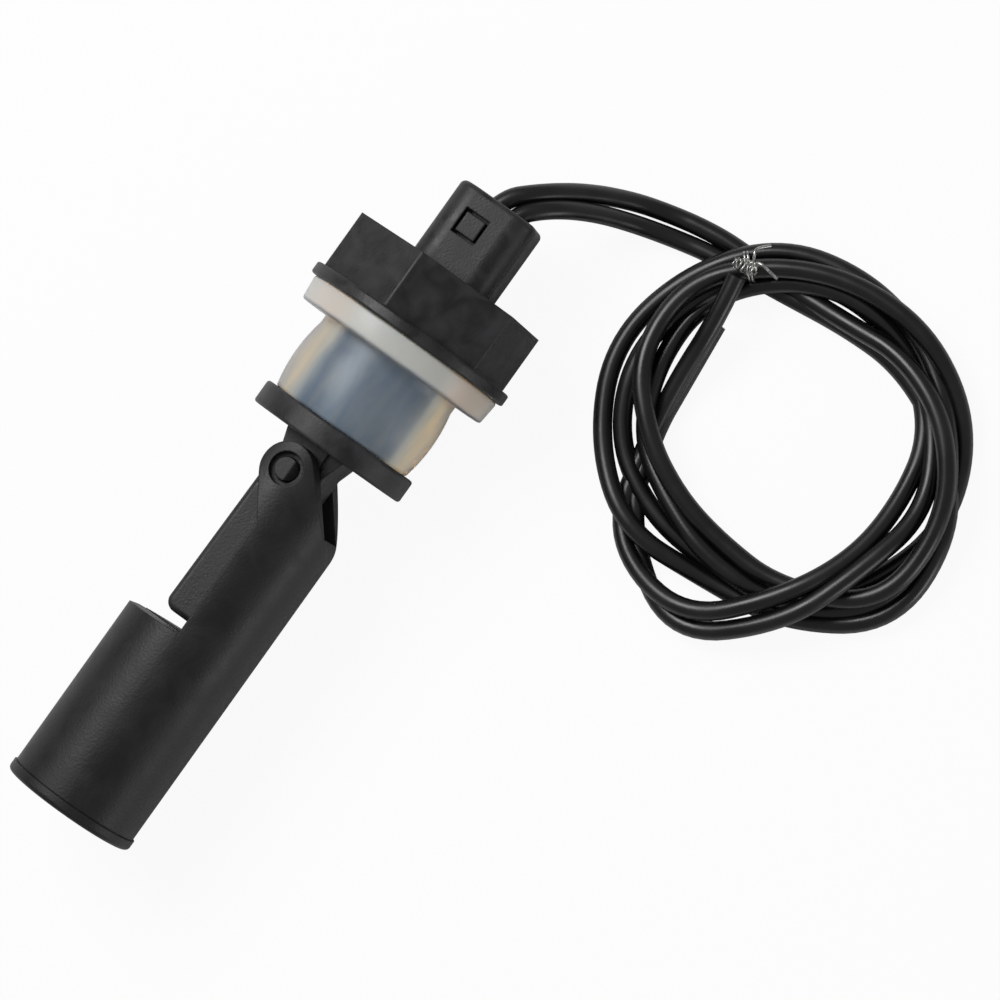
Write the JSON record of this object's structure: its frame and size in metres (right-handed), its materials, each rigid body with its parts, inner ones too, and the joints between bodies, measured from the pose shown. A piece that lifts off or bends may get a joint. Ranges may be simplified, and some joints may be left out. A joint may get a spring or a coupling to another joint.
{
  "type": "float level switch",
  "caption": "Side-mounted float level switch: hinged float on a reed stem, clamped in a tank wall by a hex nut and a soft bung, with coiled leads.",
  "frame": {"origin": "on the switch's middle line, in the plane where the bung's flange seats on the outer face of the tank wall", "axes": "+X runs along the switch into the tank, +Z along the float's hinge pegs, +Y is the side the float swings to"},
  "size_m": [0.1147, 0.0858, 0.0295],
  "materials": {
    "black_polypropylene": "moulded, fine matt grain",
    "float_polypropylene": "moulded, fine matt grain",
    "clear_silicone": "milky translucent silicone",
    "pvc_insulation": "satin black PVC",
    "tinned_tie_wire": "bright thin wire",
    "reed_glass": "clear glass",
    "nickel_iron": "bright wire",
    "copper": "stranded copper",
    "shrink_sleeve": "shrunk sleeve",
    "potting_resin": "black cast resin",
    "ferrite": "sintered ferrite"
  },
  "bodies": {
    "head": {"stem_body": "black_polypropylene", "shroud_front": "black_polypropylene", "shroud_back": "black_polypropylene", "cable_insert": "black_polypropylene", "reed_glass": "reed_glass", "reed_blade_upper": "nickel_iron", "reed_blade_lower": "nickel_iron", "return_sleeve": "shrink_sleeve", "joint_sleeve_outer": "shrink_sleeve", "joint_sleeve_inner": "shrink_sleeve", "core_wire_outer": "copper", "core_wire_inner": "copper", "potting": "potting_resin", "lead_outer_run": "pvc_insulation", "lead_inner_run": "pvc_insulation", "lead_coil": "pvc_insulation", "coil_tie": "tinned_tie_wire"},
    "bung": {"seal_bung": "clear_silicone"},
    "nut": {"clamp_nut": "black_polypropylene"},
    "float": {"float_shell": "float_polypropylene", "float_cap": "float_polypropylene", "magnet": "ferrite", "magnet_plug": "float_polypropylene"}
  },
  "joints": [
    {"name": "nut_travel", "type": "slide", "parent": "head", "child": "bung", "axis": [1, 0, 0], "range_m": [0, 0.002], "deforming": ["seal_bung"]},
    {"name": "nut_turn", "type": "hinge", "parent": "bung", "child": "nut", "pos_m": [-0.00335, 0, 0], "axis": [1, 0, 0], "range_deg": [0, 360]},
    {"name": "float_swing", "type": "hinge", "parent": "head", "child": "float", "pos_m": [0.01865, -0.0011, 0], "axis": [0, 0, 1], "range_deg": [0, 50]}
  ],
  "couplings": [
    {"joint": "nut_travel", "follows": "nut_turn", "m_per_rad": 0.000318}
  ]
}
